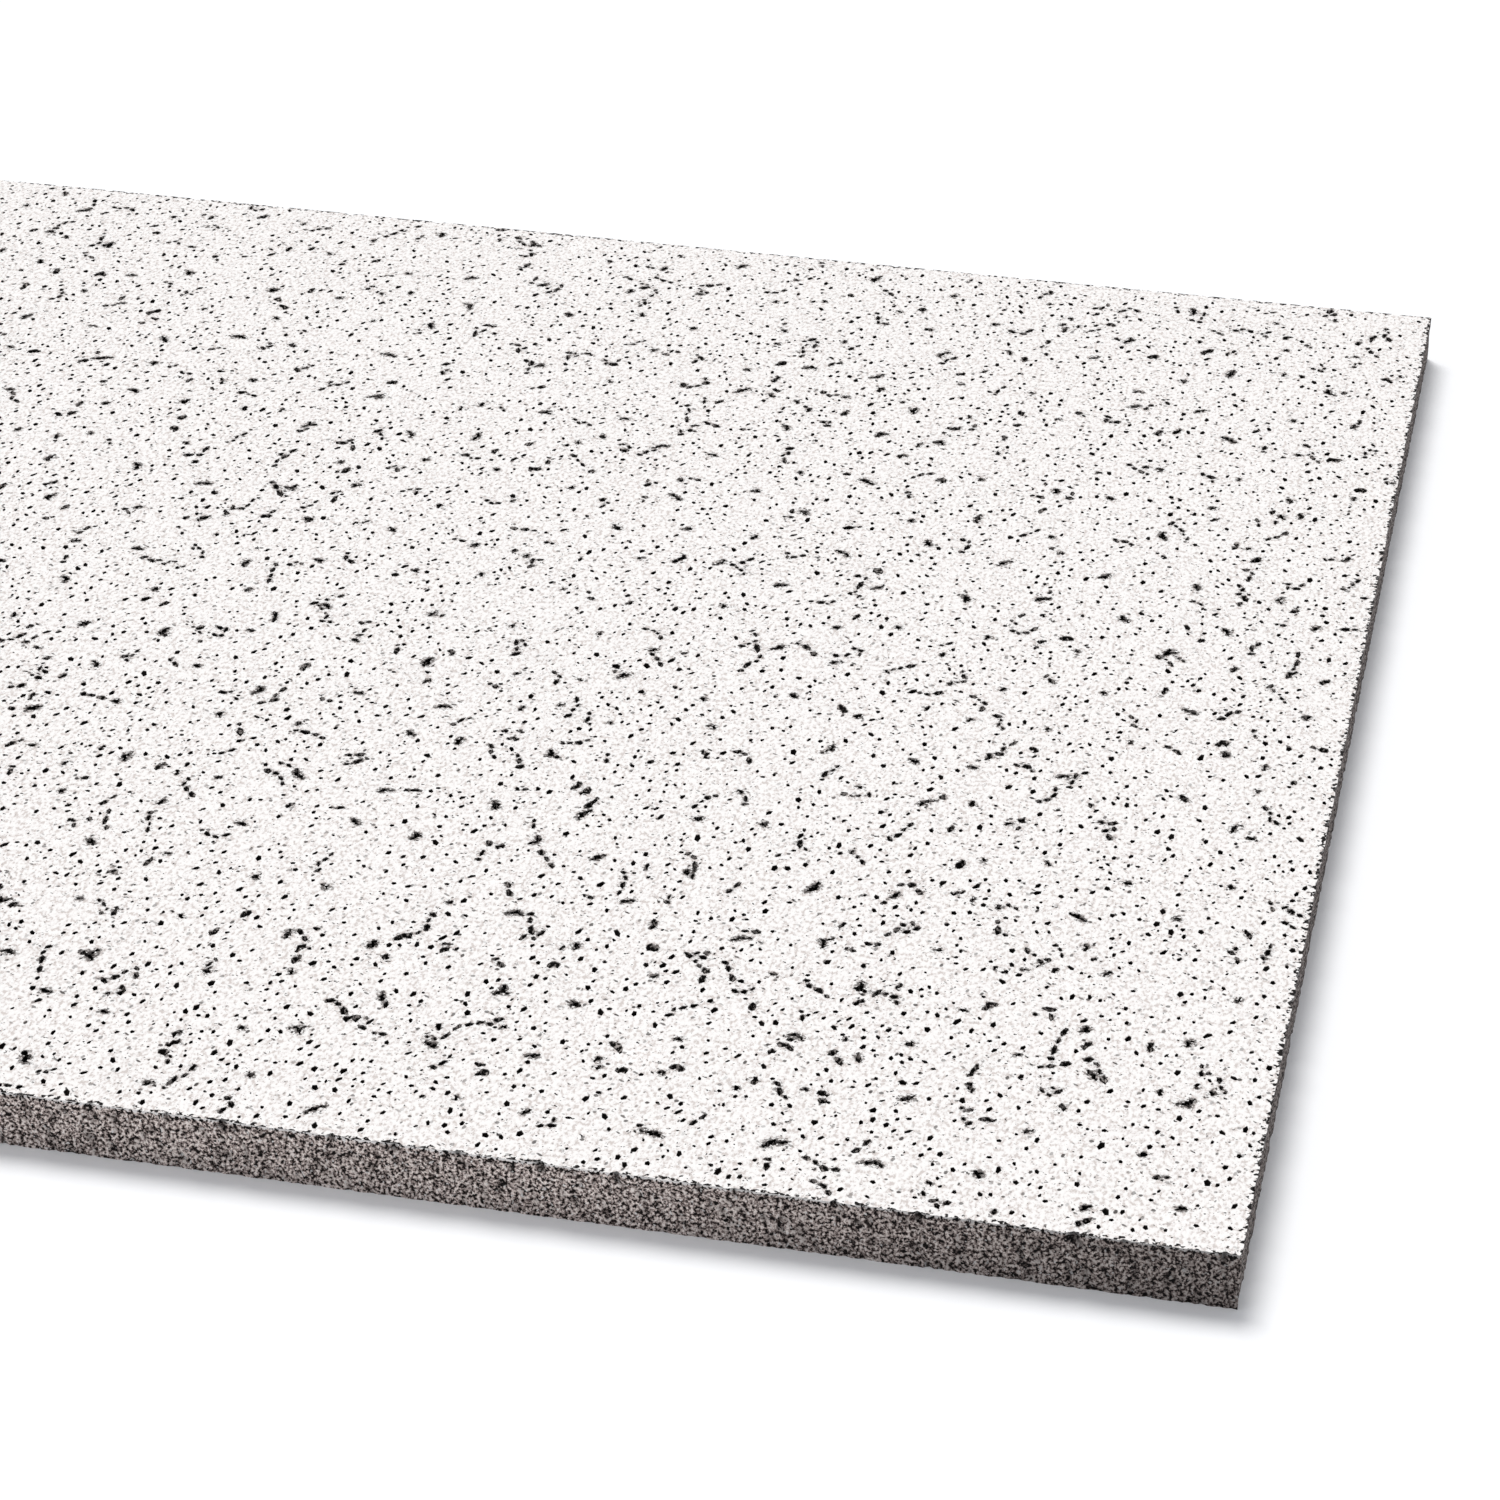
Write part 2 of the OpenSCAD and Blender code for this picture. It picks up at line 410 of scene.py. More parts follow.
def crosses(outline):
    """True if two sides of an outline cross."""
    ends = np.roll(outline, -1, 0)
    a, b, p, q = outline[:, None], ends[:, None], outline[None], ends[None]
    cut = (turn(a, b, p) * turn(a, b, q) < 0) & (turn(p, q, a) * turn(p, q, b) < 0)
    return bool(cut.any())


def stepped(outline, step, shift):
    """Points at even steps along each side of an outline, the first of them a share of a step along."""
    spots = []
    for a, b in zip(outline, np.roll(outline, -1, 0)):
        count = max(1, round(np.linalg.norm(b - a) / step))
        spots.extend(a + (b - a) * (k + shift) / count for k in range(count))
    return np.array(spots)


def redrawn(outline):
    """A rim of the solid with other points: few on a pinhole, and blunt tips on a fissure."""
    if np.ptp(outline, axis=0).max() > PIN_WIDTH:
        return stepped(outline, RIM_STEP, shift=0.5)
    around = 2 * math.pi * np.arange(PIN_SIDES) / PIN_SIDES + rng.uniform(0, 2 * math.pi)
    radius = np.ptp(outline, axis=0).mean() / 2 * PIN_GROWTH
    return outline.mean(0) + radius * np.c_[np.cos(around), np.sin(around)]


def ragged(outline, stray):
    """A rim whose points stray in and out."""
    normals = inward(outline)
    strayed = np.minimum(rng.uniform(*stray, len(outline)), STRAY_MAX * half_width(outline, normals))
    strayed = outline + normals * strayed[:, None]
    return outline if crosses(strayed) else strayed


def discs(outline):
    """Discs that cover an outline, as rows of x, y and radius."""
    outline = stepped(outline, DISC_STEP, shift=0)
    normals = inward(outline)
    radius = half_width(outline, normals)
    inner = np.c_[outline + normals * radius[:, None], radius]
    return np.vstack([inner, np.c_[outline, np.full(len(outline), GAP)]])


def is_free(rows, gap):
    """True if the discs keep a gap from all that are taken."""
    for x, y, radius in rows:
        column, row = int(x // CELL), int(y // CELL)
        for i in (-1, 0, 1):
            for j in (-1, 0, 1):
                for other_x, other_y, other in taken.get((column + i, row + j), ()):
                    if math.hypot(other_x - x, other_y - y) < radius + other + gap:
                        return False
    return True


def take(rows):
    for x, y, radius in rows:
        taken.setdefault((int(x // CELL), int(y // CELL)), []).append((x, y, radius))


def sink(rim, feet, depth, foot_of, is_torn):
    """Adds a pit: a wall from each side of its rim to the feet under it, and a floor if each has one."""
    first, count = len(points), len(rim)
    points.extend((x, y, FACE_Z) for x, y in rim)
    points.extend((x, y, FACE_Z - depth) for x, y in feet)
    rim_of.extend([len(rims)] * count + [-1] * len(feet))
    rims.append(range(first, first + count))
    torn.extend([float(is_torn)] * (count + len(feet)))
    foot = [first + count + k for k in foot_of]
    for k in range(count):
        after = (k + 1) % count
        wall = (first + k, first + after, foot[after], foot[k])
        walls.append(wall[:3] if foot[after] == foot[k] else wall)
    if len(feet) == count:
        walls.append(tuple(foot))


beside_on_arris = {}
for a, b in (e.vertices for e in board.data.edges):
    if min(places[a, 2], places[b, 2]) > FACE_Z - TOUCH:
        beside_on_arris.setdefault(a, []).append(b)
        beside_on_arris.setdefault(b, []).append(a)
arris_walk = [min(beside_on_arris)]
arris_walk.append(beside_on_arris[arris_walk[0]][0])
while len(arris_walk) < len(beside_on_arris):
    one, other = beside_on_arris[arris_walk[-1]]
    arris_walk.append(other if one == arris_walk[-2] else one)
board_outline = anticlockwise(places[arris_walk, :2])
points.extend((x, y, FACE_Z) for x, y in board_outline)
rims.append(range(len(points)))
rim_of.extend([0] * len(points))
torn.extend([0.0] * len(points))
take(np.c_[board_outline, np.full(len(board_outline), STEP / 2)])

torn_spots = []
for outline, depths in pit_rims:
    outline = anticlockwise(outline)
    is_pin = np.ptp(outline, axis=0).max() < PIN_WIDTH
    rim = ragged(redrawn(outline), RAGGED_PIN if is_pin else RAGGED)
    take(discs(rim))
    if is_pin:
        sink(rim, rim.mean(0, keepdims=True), depths.max(), [0] * len(rim), is_torn=False)
    else:
        normals = inward(rim)
        feet = rim + normals * (WALL_SLOPE * half_width(rim, normals))[:, None]
        sink(rim, feet, depths.max(), range(len(rim)), is_torn=True)
        torn_spots.append(rim.mean(0))

# The finer tears: short, ragged and drawn out along the roller's run, some of them in broken chains.
RUN = (1, 1.6)               # the roller drew all that it tore out along +Y
TEARS = 420
TEAR_LENGTH = 3.0 * MM       # the usual length, its spread as a logarithm, and the least and greatest
TEAR_SPREAD = 0.4
TEAR_LENGTHS = (1.9 * MM, 5.5 * MM)
TEAR_WIDTHS = (1.4 * MM, 2.3 * MM)
TEAR_SLIM = 0.62             # greatest width of a tear as a share of its length
TEAR_DEPTHS = (0.9 * MM, 2.2 * MM)
TEAR_LEAN = 0.7              # spread of a tear's first heading, in radians
TEAR_SWAY = np.array([1, -1, 1])         # it turns from side to side, by this much and this spread
TEAR_TURN = (0.7, 0.5)
TEAR_TAPER = np.array([[0.5], [1], [1], [1], [0.5]])     # share of its width at each point of its line
TEAR_UNEVEN = (0.3, 1.45)
CHAIN_ODDS = (0.6, 0.28, 0.12)           # odds of a tear by itself, and of broken chains of two and three
CHAIN_STEP = 2.4 * MM


def tear():
    """A tear's rim along a kinked line, the line as its feet, and the foot under each point of the rim."""
    length = np.clip(TEAR_LENGTH * rng.lognormal(0, TEAR_SPREAD), *TEAR_LENGTHS)
    width = min(rng.uniform(*TEAR_WIDTHS), TEAR_SLIM * length)
    turns = rng.normal(0, TEAR_LEAN), *(rng.normal(*TEAR_TURN, len(TEAR_SWAY)) * TEAR_SWAY)
    heading = np.cumsum(turns)
    legs = np.c_[np.cos(heading), np.sin(heading)] * length / len(heading)
    line = np.vstack([[0, 0], np.cumsum(legs, 0)])
    line -= line.mean(0)
    lean = np.r_[heading[0], (heading[:-1] + heading[1:]) / 2, heading[-1]]
    across = np.c_[-np.sin(lean), np.cos(lean)] * width / 2
    wide = rng.uniform(*TEAR_UNEVEN, (2, *TEAR_TAPER.shape)) * TEAR_TAPER
    rim = np.vstack([line - across * wide[0], (line + across * wide[1])[::-1]])
    feet = line[1:-1]
    foot_of = np.clip(np.arange(len(line)) - 1, 0, len(feet) - 1).tolist()
    return rim * RUN, feet * RUN, foot_of + foot_of[::-1]


def place_pit(pit, spot, depth, is_torn, gap=GAP):
    """Sinks a pit at a spot if it meets no other there, and says whether it did."""
    rim, feet, foot_of = pit
    rim = rim + spot
    if np.abs(rim).max() > HALF - EDGE_GAP or crosses(rim):
        return False
    rows = discs(rim)
    if not is_free(rows, gap):
        return False
    take(rows)
    sink(rim, feet + spot, depth, foot_of, is_torn)
    return True


tears_placed = 0
while tears_placed < TEARS:
    spot = rng.uniform(-HALF, HALF, 2)
    for _ in range(rng.choice(len(CHAIN_ODDS), p=CHAIN_ODDS) + 1):
        if place_pit(tear(), spot, rng.uniform(*TEAR_DEPTHS), is_torn=True):
            tears_placed += 1
            torn_spots.append(spot)
        spot = spot + rng.normal(0, CHAIN_STEP, 2) * RUN

# Fissures that broke up into chains of small pits, each as near to the last as it can lie.
BROKEN = 520
BROKEN_LEAN = 0.5            # spread of a chain's first heading, and of its turn at each pit, in radians
BROKEN_TURN = 0.9
BROKEN_LINKS = (2, 5)        # a chain tries at least the first number of pits, and fewer than the second
LINK_SIZE = 0.7 * MM
LINK_STEPS = np.arange(1.6, 4.2, 0.2) * MM
PIN_DEPTHS = (1.2 * MM, 2.6 * MM)
PIN_SPREAD = 0.22            # spread of a hole's size as a logarithm, and the least and greatest as shares
PIN_SIZES = (0.6, 1.5)
PIN_DRAWN = (1.75, 0.25)     # how far a hole is drawn out, and the spread of that
PIN_SKEW = 0.2               # how far a corner strays round the hole, as a share of a side
PIN_UNEVEN = (0.85, 1.15)


def turned(angle):
    """The unit vector at an angle from +X."""
    return np.array([math.cos(angle), math.sin(angle)])


def pinhole(heading, size, sides):
    """A punched hole of a few corners, drawn out along a heading and ending in a point."""
    radius = size * np.clip(rng.lognormal(0, PIN_SPREAD), *PIN_SIZES)
    drawn = rng.normal(*PIN_DRAWN)
    corners = (np.arange(sides) + rng.uniform(-PIN_SKEW, PIN_SKEW, sides)) * 2 * math.pi / sides
    corners = corners + rng.uniform(0, 2 * math.pi)
    rim = np.c_[drawn * np.cos(corners), np.sin(corners)] * radius * rng.uniform(*PIN_UNEVEN, (sides, 1))
    spin = np.array([turned(heading), turned(heading + math.pi / 2)])
    return rim @ spin, np.zeros((1, 2)), [0] * sides


for _ in range(BROKEN):
    spot = rng.uniform(-HALF, HALF, 2)
    heading = rng.normal(0, BROKEN_LEAN)
    torn_spots.append(spot)
    for _ in range(rng.integers(*BROKEN_LINKS)):
        rim, feet, foot_of = pinhole(heading, LINK_SIZE, PIN_SIDES)
        link = (rim * RUN, feet, foot_of)
        depth = rng.uniform(*PIN_DEPTHS)
        way = turned(heading) * RUN
        step = next((s for s in LINK_STEPS if place_pit(link, spot + way * s, depth, is_torn=True)), None)
        if step is None:
            break
        spot = spot + way * step
        heading += rng.normal(0, BROKEN_TURN)

# Crumbs that fell out beside the fissures and tears, which left the smallest and shallowest pits.
CRUMBS = 3                   # the most that are tried at one place
CRUMB_REACH = 1.5 * MM
CRUMB_SIZE = 0.42 * MM
CRUMB_SIDES = 4
CRUMB_LEAN = 0.9             # spread of a crumb's heading from the roller's run, in radians
CRUMB_DEPTHS = (0.15 * MM, 0.6 * MM)
ROLLER = math.pi / 2         # heading of the roller's run
for spot in torn_spots:
    for _ in range(rng.integers(0, CRUMBS + 1)):
        beside = spot + rng.normal(0, CRUMB_REACH, 2) * RUN
        crumb = pinhole(rng.normal(ROLLER, CRUMB_LEAN), CRUMB_SIZE, CRUMB_SIDES)
        place_pit(crumb, beside, rng.uniform(*CRUMB_DEPTHS), is_torn=True)

# The finer pinholes, most of them single and some in short uneven rows.
PINS = 6200
PIN_SIZE = 0.68 * MM
PIN_GAP = 0.9 * MM
PIN_LEAN = 0.3
ROW_ODDS = (0.84, 0.1, 0.04, 0.02)       # odds of a pinhole by itself, and of rows of two, three and four
ROW_STEPS = (1.8 * MM, 3.4 * MM)
pins_placed = 0
while pins_placed < PINS:
    spot = rng.uniform(-HALF, HALF, 2)
    heading = rng.normal(ROLLER, PIN_LEAN)
    for _ in range(rng.choice(len(ROW_ODDS), p=ROW_ODDS) + 1):
        pin = pinhole(heading, PIN_SIZE, PIN_SIDES)
        pins_placed += place_pit(pin, spot, rng.uniform(*PIN_DEPTHS), is_torn=False, gap=PIN_GAP)
        spot = spot + rng.uniform(*ROW_STEPS) * turned(rng.uniform(0, 2 * math.pi)) * RUN

# Torn fibre inside the pits, which the paint reached only at their rims: bare fibre drawn near black, far
# darker than the same fibre on the cut edges, as painted shade in the pits' depth, with no shine, and with
# grains of pale dust lying in the tears.
PIT_SHADE_STOPS = ((0.35, "#070605"), (0.7, "#231f1d"))
PIT_GRAIN = 1.0 * MM
RIM_REACH = 0.2 * MM         # how far down the paint reached, and how well it covers at the rim
RIM_COVER = 0.8
RIM_COLOUR = "#b9b2ad"
DUST_BAND = (0.54, 0.64)     # levels of the grain at which dust begins and is full
DUST_COLOUR = "#b5ada7"
# painted shade: the pits' material is the bare fibre darkened to near black for the shade inside them
pit_fibre_and_shade, tree, shader, place = new_material("pit_fibre_and_painted_shade", roughness=1.0, specular=0.1)
pit_grain = add_node(tree, "ShaderNodeTexNoise", {"Scale": 1 / PIT_GRAIN, "Detail": 2.0}, {"Vector": place})
pit_shade_tone = add_node(tree, "ShaderNodeValToRGB", links={"Fac": pit_grain.outputs["Fac"]})
set_stops(pit_shade_tone, *PIT_SHADE_STOPS)
pit_place = add_node(tree, "ShaderNodeSeparateXYZ", links={"Vector": place})
painted_rim = add_node(
    tree, "ShaderNodeMapRange", {"From Min": FACE_Z - RIM_REACH, "From Max": FACE_Z, "To Max": RIM_COVER},
    {"Value": pit_place.outputs["Z"]})
with_rim = add_node(
    tree, "ShaderNodeMix", {"data_type": "RGBA", MIX_OVER: linear(RIM_COLOUR)},
    {MIX_SHARE: painted_rim.outputs["Result"], MIX_UNDER: pit_shade_tone.outputs["Color"]})
in_tear = add_node(tree, "ShaderNodeAttribute", {"attribute_name": "torn"})
dust = add_node(
    tree, "ShaderNodeMapRange", {"From Min": DUST_BAND[0], "From Max": DUST_BAND[1]},
    {"Value": pit_grain.outputs["Fac"]})
dust_in_tear = add_node(
    tree, "ShaderNodeMath", {"operation": "MULTIPLY"},
    {0: dust.outputs["Result"], 1: in_tear.outputs["Fac"]})
with_dust = add_node(
    tree, "ShaderNodeMix", {"data_type": "RGBA", MIX_OVER: linear(DUST_COLOUR)},
    {MIX_SHARE: dust_in_tear.outputs["Value"], MIX_UNDER: with_rim.outputs[MIX_RESULT]})
tree.links.new(with_dust.outputs[MIX_RESULT], shader.inputs["Base Color"])

# Painted face: the room side of the board, rolled and sprayed white before it was punched and torn open.
# Its surface is laid out flat between the rims of all the pits and welded to the cut edges.
INSIDE_LINES = 1             # the triangulation's kind that keeps what closed lines enclose
SAME_SPOT = TOUCH / 100      # it takes points closer than this as one
SMOOTH_ANGLE = math.radians(35)
rim_of = np.array(rim_of)
xy = np.array(points)[:, :2]
on_rim = np.flatnonzero(rim_of >= 0)
number = np.cumsum(rim_of >= 0) - 1
sides = [(int(number[a]), int(number[b])) for rim in rims for a, b in zip(rim, [*rim[1:], rim[0]])]
laid = delaunay_2d_cdt([Vector(p) for p in xy[on_rim]], sides, [], INSIDE_LINES, SAME_SPOT, True)
_, _, triangles, laid_from, _, _ = laid
triangles = [t for t in triangles if all(laid_from[c] for c in t)]
sheet = on_rim[[[laid_from[c][0] for c in t] for t in triangles]]
owners = rim_of[sheet]
one_rim = (owners[:, :1] == owners).all(1)
within_rim = turn(*(xy[k] for k in np.sort(sheet, 1).T)) > 0
sheet = sheet[~(one_rim & (within_rim == (owners[:, 0] > 0)))]
backward = turn(*(xy[k] for k in sheet.T)) < 0
sheet[backward] = sheet[backward][:, ::-1]

face_mesh = bpy.data.meshes.new("painted_face")
face_mesh.from_pydata([tuple(map(float, p)) for p in points], [], sheet.tolist() + walls)
face_mesh.polygons.foreach_set("material_index", [SLOT_PAINT] * len(sheet) + [SLOT_PIT] * len(walls))
face_mesh.attributes.new("torn", "FLOAT", "POINT").data.foreach_set("value", torn)
painted_face = bpy.data.objects.new("painted_face", face_mesh)
bpy.context.scene.collection.objects.link(painted_face)

# Matte vinyl latex paint, rolled and sprayed to a fine stipple: a warm soft white whose grains go greyer in
# the stipple's low spots, partly the paint's own tone and partly painted shade. What is too fine for the mesh
# is drawn in it: pricks that show dark and dents that show a faint grey, both painted shade with the bare
# fibre of the pricks, paint scuffed and lifted beside the tears, and chips that the saw broke off along the
# arris, drawn near black as bare fibre with painted shade in them.
# the darker stops are partly painted shade, in the stipple's low spots
PAINT_STOPS = ((0.37, "#d9d0ca"), (0.47, "#f7f2ee"), (0.56, "#fffcf8"))
STIPPLE = 1.05 * MM
STIPPLE_RUN = 1.7            # how far the roller drew the stipple out along its run
STIPPLE_RELIEF = 0.25 * MM
SPECKS = (                   # lie in degrees, how far they are drawn out, spacing and radius of each kind
    (25, 1.0, 6.6 * MM, 0.5 * MM),
    (80, 1.9, 5.0 * MM, 0.4 * MM),
    (145, 2.4, 5.4 * MM, 0.34 * MM))
SPECK_LEAST = 0.5            # the smallest speck's share of the radius, to which chance adds up to 1
SPECK_WARP = 0.5 * MM
SPECK_SOFT = 0.16 * MM
# painted shade: the specks are drawn dark for the shade in tiny pricks and dents, with the bare fibre of the
# pricks
SPECK_SHADE_COLOUR = "#4b4542"
SCUFF = 0.9 * MM
SCUFF_REACH = 2.2 * MM       # how far from a pit's wall the paint is scuffed
SCUFF_RIM = (0.97, 0.68)     # openness inside the board at which a rim's scuffs begin and are full
SCUFF_TORN = (0.4, 0.7)      # nearness to a tear, not to a pinhole, at which they do
SCUFF_CROWDING = 0.26
SCUFF_BAND = (0.68, 0.71)
SCUFF_COVER = 0.9
SCUFF_COLOUR = "#59524e"
CHIP = 1.4 * MM
CHIP_REACH = 2.6 * MM        # how far in from the arris the paint chipped
CHIP_CROWDING = 0.22
CHIP_BAND = (0.68, 0.72)
# painted shade: the chips are drawn near black, bare fibre with the shade that falls in them
CHIP_SHADE_COLOUR = "#15110f"
latex_paint, tree, shader, place = new_material("matte_latex_paint", roughness=0.9, specular=0.25)
rolled = add_node(
    tree, "ShaderNodeMapping", {"vector_type": "TEXTURE", "Scale": (1, STIPPLE_RUN, 1)}, {"Vector": place})
stipple = add_node(
    tree, "ShaderNodeTexNoise", {"Scale": 1 / STIPPLE, "Detail": 2.0, "Roughness": 0.6},
    {"Vector": rolled.outputs["Vector"]})
paint_tone_and_shade = add_node(tree, "ShaderNodeValToRGB", links={"Fac": stipple.outputs["Fac"]})
set_stops(paint_tone_and_shade, *PAINT_STOPS)
warp = add_node(tree, "ShaderNodeTexNoise", {"Scale": 1 / SPECK_WARP, "Detail": 1.0}, {"Vector": place})
warped = add_node(
    tree, "ShaderNodeVectorMath", {"operation": "MULTIPLY_ADD", 1: (SPECK_WARP,) * 3},
    {0: warp.outputs["Color"], 2: place})
specks = None
for lie, drawn, spacing, radius in SPECKS:
    laid_out = add_node(
        tree, "ShaderNodeMapping",
        {"vector_type": "TEXTURE", "Rotation": (0, 0, math.radians(lie)), "Scale": (drawn, 1, 1)},
        {"Vector": warped.outputs["Vector"]})
    cells = add_node(
        tree, "ShaderNodeTexVoronoi", {"voronoi_dimensions": "2D", "Scale": 1 / spacing},
        {"Vector": laid_out.outputs["Vector"]})
    chance = add_node(tree, "ShaderNodeSeparateColor", links={"Color": cells.outputs["Color"]})
    speck_size = add_node(
        tree, "ShaderNodeMath",
        {"operation": "MULTIPLY_ADD", 1: radius / spacing, 2: SPECK_LEAST * radius / spacing},
        {0: chance.outputs["Red"]})
    within = add_node(
        tree, "ShaderNodeMath", {"operation": "SUBTRACT"},
        {0: speck_size.outputs["Value"], 1: cells.outputs["Distance"]})
    speck = add_node(
        tree, "ShaderNodeMapRange", {"From Max": SPECK_SOFT / spacing}, {"Value": within.outputs["Value"]})
    shown = add_node(
        tree, "ShaderNodeMath", {"operation": "MULTIPLY"},
        {0: speck.outputs["Result"], 1: chance.outputs["Green"]})
    if specks:
        shown = add_node(
            tree, "ShaderNodeMath", {"operation": "MAXIMUM"},
            {0: specks.outputs["Value"], 1: shown.outputs["Value"]})
    specks = shown
with_speck_shade = add_node(
    tree, "ShaderNodeMix", {"data_type": "RGBA", MIX_OVER: linear(SPECK_SHADE_COLOUR)},
    {MIX_SHARE: specks.outputs["Value"], MIX_UNDER: paint_tone_and_shade.outputs["Color"]})
tear_nearness = add_node(tree, "ShaderNodeAttribute", {"attribute_name": "torn"})
beside_tear = add_node(
    tree, "ShaderNodeMapRange",
    {"From Min": SCUFF_TORN[0], "From Max": SCUFF_TORN[1], "To Max": SCUFF_CROWDING},
    {"Value": tear_nearness.outputs["Fac"]})
openness = add_node(
    tree, "ShaderNodeAmbientOcclusion",
    {"samples": 8, "inside": True, "only_local": True, "Distance": SCUFF_REACH})
on_pit_rim = add_node(
    tree, "ShaderNodeMapRange", {"From Min": SCUFF_RIM[0], "From Max": SCUFF_RIM[1]},
    {"Value": openness.outputs["AO"]})
scuff_crowding = add_node(
    tree, "ShaderNodeMath", {"operation": "MULTIPLY"},
    {0: beside_tear.outputs["Result"], 1: on_pit_rim.outputs["Result"]})
scuff_noise = add_node(
    tree, "ShaderNodeTexNoise", {"Scale": 1 / SCUFF, "Detail": 2.0, "Roughness": 0.7}, {"Vector": place})
scuffs = add_node(
    tree, "ShaderNodeMath", {"operation": "ADD"},
    {0: scuff_noise.outputs["Fac"], 1: scuff_crowding.outputs["Value"]})
scuffed = add_node(
    tree, "ShaderNodeMapRange",
    {"From Min": SCUFF_BAND[0], "From Max": SCUFF_BAND[1], "To Max": SCUFF_COVER},
    {"Value": scuffs.outputs["Value"]})
with_scuffs = add_node(
    tree, "ShaderNodeMix", {"data_type": "RGBA", MIX_OVER: linear(SCUFF_COLOUR)},
    {MIX_SHARE: scuffed.outputs["Result"], MIX_UNDER: with_speck_shade.outputs[MIX_RESULT]})
beside_arris = add_node(
    tree, "ShaderNodeMapRange", {"From Min": HALF - CHIP_REACH, "From Max": HALF, "To Max": CHIP_CROWDING},
    {"Value": outwards(tree, place)})
chip_noise = add_node(tree, "ShaderNodeTexNoise", {"Scale": 1 / CHIP, "Detail": 2.0}, {"Vector": place})
chips = add_node(
    tree, "ShaderNodeMath", {"operation": "ADD"},
    {0: chip_noise.outputs["Fac"], 1: beside_arris.outputs["Result"]})
chipped = add_node(
    tree, "ShaderNodeMapRange", {"From Min": CHIP_BAND[0], "From Max": CHIP_BAND[1]},
    {"Value": chips.outputs["Value"]})
with_chip_shade = add_node(
    tree, "ShaderNodeMix", {"data_type": "RGBA", MIX_OVER: linear(CHIP_SHADE_COLOUR)},
    {MIX_SHARE: chipped.outputs["Result"], MIX_UNDER: with_scuffs.outputs[MIX_RESULT]})
tree.links.new(with_chip_shade.outputs[MIX_RESULT], shader.inputs["Base Color"])
relief = add_node(
    tree, "ShaderNodeMath", {"operation": "SUBTRACT"},
    {0: stipple.outputs["Fac"], 1: specks.outputs["Value"]})
paint_bump = add_node(
    tree, "ShaderNodeBump", {"Strength": 0.4, "Distance": STIPPLE_RELIEF},
    {"Height": relief.outputs["Value"]})
tree.links.new(paint_bump.outputs["Normal"], shader.inputs["Normal"])

for piece in (board, painted_face):
    for material in (latex_paint, sawn_fibre, felted_fibre, pit_fibre_and_shade):
        piece.data.materials.append(material)
bpy.ops.object.select_all(action="DESELECT")
painted_face.select_set(True)
board.select_set(True)
bpy.context.view_layer.objects.active = board
bpy.ops.object.join()
bpy.ops.object.mode_set(mode="EDIT")
bpy.ops.mesh.select_all(action="SELECT")
bpy.ops.mesh.remove_doubles(threshold=TOUCH)
bpy.ops.object.mode_set(mode="OBJECT")
bpy.ops.object.shade_smooth_by_angle(angle=SMOOTH_ANGLE)

# The board's own map, for textures: the face and its pits from above, the edges in strips, the back small.
MAP_EDGE = 0.005
MAP_FACE = 0.72
MAP_BACK = 0.26
MAP_STRIP = 0.05
MAP_STRIP_FILL = 0.9         # share of its strip that an edge fills
mesh = board.data
corner_counts = np.array([f.loop_total for f in mesh.polygons])
slots = np.repeat([f.material_index for f in mesh.polygons], corner_counts)
centres = np.repeat(np.array([f.center for f in mesh.polygons]), corner_counts, 0)
corners = np.array([mesh.vertices[l.vertex_index].co for l in mesh.loops])
share = (corners[:, :2] + HALF) / (2 * HALF)
across = np.abs(centres[:, :2]).argmax(1)
rows = np.arange(len(across))
strip = 2 * across + (centres[rows, across] > 0)
along_strip = MAP_EDGE + (1 - 2 * MAP_EDGE) * share[rows, 1 - across]
up_strip = MAP_EDGE + (strip + MAP_STRIP_FILL * corners[:, 2] / FACE_Z) * MAP_STRIP
face_map = share * MAP_FACE + (MAP_EDGE, 1 - MAP_EDGE - MAP_FACE)
back_map = share * (MAP_BACK, -MAP_BACK) + (1 - MAP_EDGE - MAP_BACK, 1 - MAP_EDGE)
flat = np.where((slots == SLOT_BACK)[:, None], back_map, face_map)
flat = np.where((slots == SLOT_EDGE)[:, None], np.c_[along_strip, up_strip], flat)
mesh.uv_layers.new(name="OFBake").data.foreach_set("uv", flat.ravel())

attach(board, "root")
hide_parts("ceiling_tile")

# Stage: a wide white sheet under the tile, lit softly from behind its left side, as on a product table.
# The sheet and the room behind it are lifted to white for the camera alone, so the tile's shadow stays.
WHITE = "#ffffff"
FLOOR = 8.0                  # side of the sheet, in metres
FLOOR_COLOUR = "#f9f9f9"
FLOOR_GLOW = 0.09
AMBIENT = 0.455
AMBIENT_COLOUR = "#f2f5fc"
SUN_STRENGTH = 2.27
SUN_HEIGHT = 58              # in degrees, as are its bearing, anticlockwise from +X, and its spread
SUN_FROM = 121
SUN_SPREAD = 28
bpy.ops.object.select_all(action="DESELECT")
bpy.ops.mesh.primitive_plane_add(size=FLOOR, location=(0, 0, 0))
floor = bpy.context.object
floor.name = "floor"
white_sheet, tree, shader, place = new_material("white_sheet", roughness=1.0, specular=0.0)
shader.inputs["Base Color"].default_value = linear(FLOOR_COLOUR)
shader.inputs["Emission Color"].default_value = linear(WHITE)
floor_seen = add_node(tree, "ShaderNodeLightPath")
glow = add_node(
    tree, "ShaderNodeMath", {"operation": "MULTIPLY", 1: FLOOR_GLOW},
    {0: floor_seen.outputs["Is Camera Ray"]})
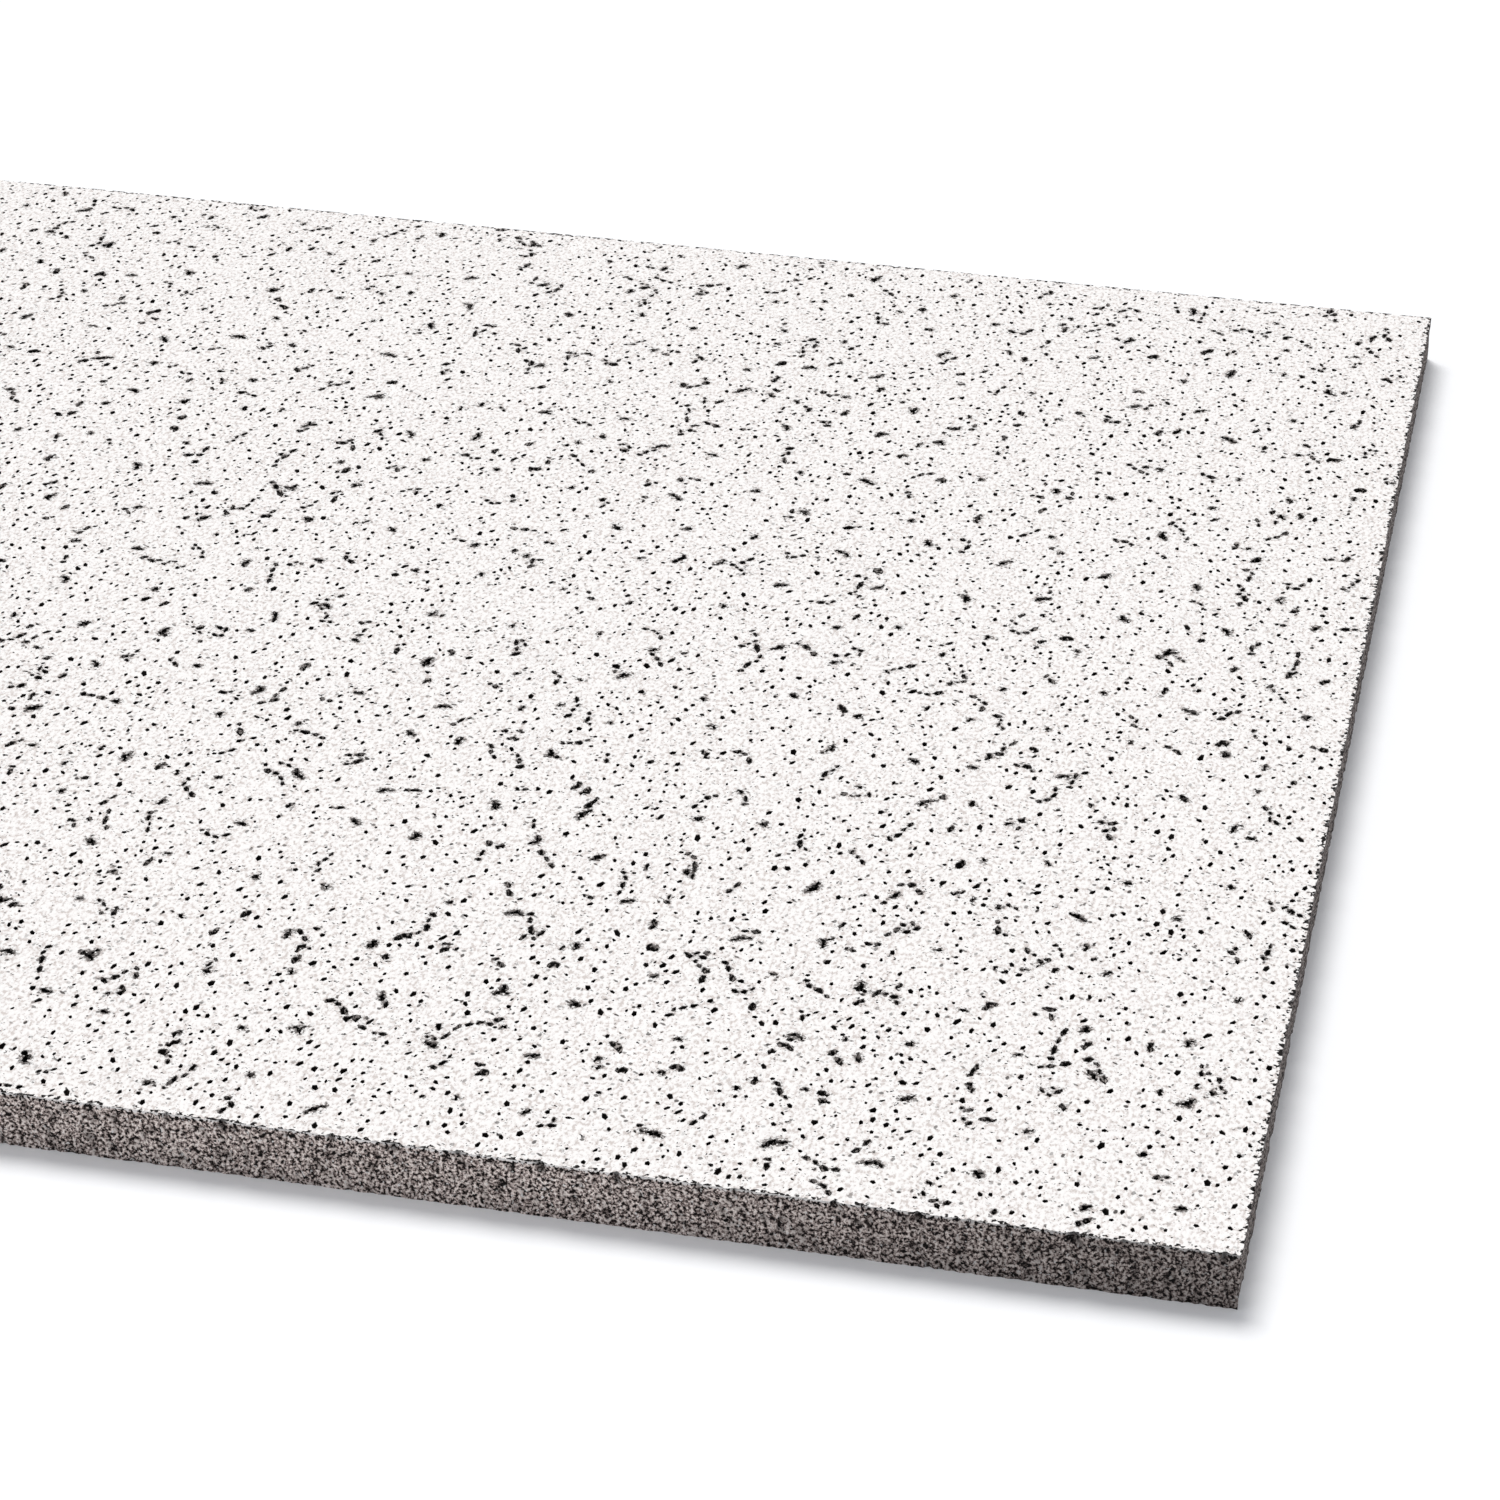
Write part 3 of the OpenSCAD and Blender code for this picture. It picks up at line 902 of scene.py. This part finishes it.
tree.links.new(glow.outputs["Value"], shader.inputs["Emission Strength"])
floor.data.materials.append(white_sheet)

world = bpy.data.worlds.new("soft_room")
bpy.context.scene.world = world
world.use_nodes = True
tree = world.node_tree
room = tree.nodes["Background"]
room_seen = add_node(tree, "ShaderNodeLightPath")
strength = add_node(
    tree, "ShaderNodeMapRange", {"To Min": AMBIENT, "To Max": 1.0},
    {"Value": room_seen.outputs["Is Camera Ray"]})
tint = add_node(
    tree, "ShaderNodeMix",
    {"data_type": "RGBA", MIX_UNDER: linear(AMBIENT_COLOUR), MIX_OVER: linear(WHITE)},
    {MIX_SHARE: room_seen.outputs["Is Camera Ray"]})
tree.links.new(strength.outputs["Result"], room.inputs["Strength"])
tree.links.new(tint.outputs[MIX_RESULT], room.inputs["Color"])

bpy.ops.object.light_add(type="SUN")
sun = bpy.context.object
sun.data.energy = SUN_STRENGTH
sun.data.angle = math.radians(SUN_SPREAD)
sun.matrix_world = (Matrix.Rotation(math.radians(SUN_FROM + 90), 4, "Z")
                    @ Matrix.Rotation(math.radians(90 - SUN_HEIGHT), 4, "X"))

# Camera: a long lens above the tile's near right corner, fitted to the front, right and far edges. It stands
# a little over 1.1 m from that corner, and its angles are in degrees.
CAMERA_PLACE = (362.5 * MM, -1237.8 * MM, 653.5 * MM)
CAMERA_YAW = 11.228
CAMERA_PITCH = 28.277
CAMERA_ROLL = 1.21
CAMERA_LENS = 110.43
CAMERA_SENSOR = 36.0
CAMERA_SIGHT = 100.0
bpy.ops.object.camera_add()
camera = bpy.context.object
camera.data.sensor_width = CAMERA_SENSOR
camera.data.lens = CAMERA_LENS
camera.data.clip_end = CAMERA_SIGHT
camera.matrix_world = (Matrix.Translation(CAMERA_PLACE)
                       @ Matrix.Rotation(math.radians(CAMERA_YAW), 4, "Z")
                       @ Matrix.Rotation(math.radians(90 - CAMERA_PITCH), 4, "X")
                       @ Matrix.Rotation(math.radians(CAMERA_ROLL), 4, "Z"))
bpy.context.scene.camera = camera
bpy.context.scene.view_settings.view_transform = "Standard"
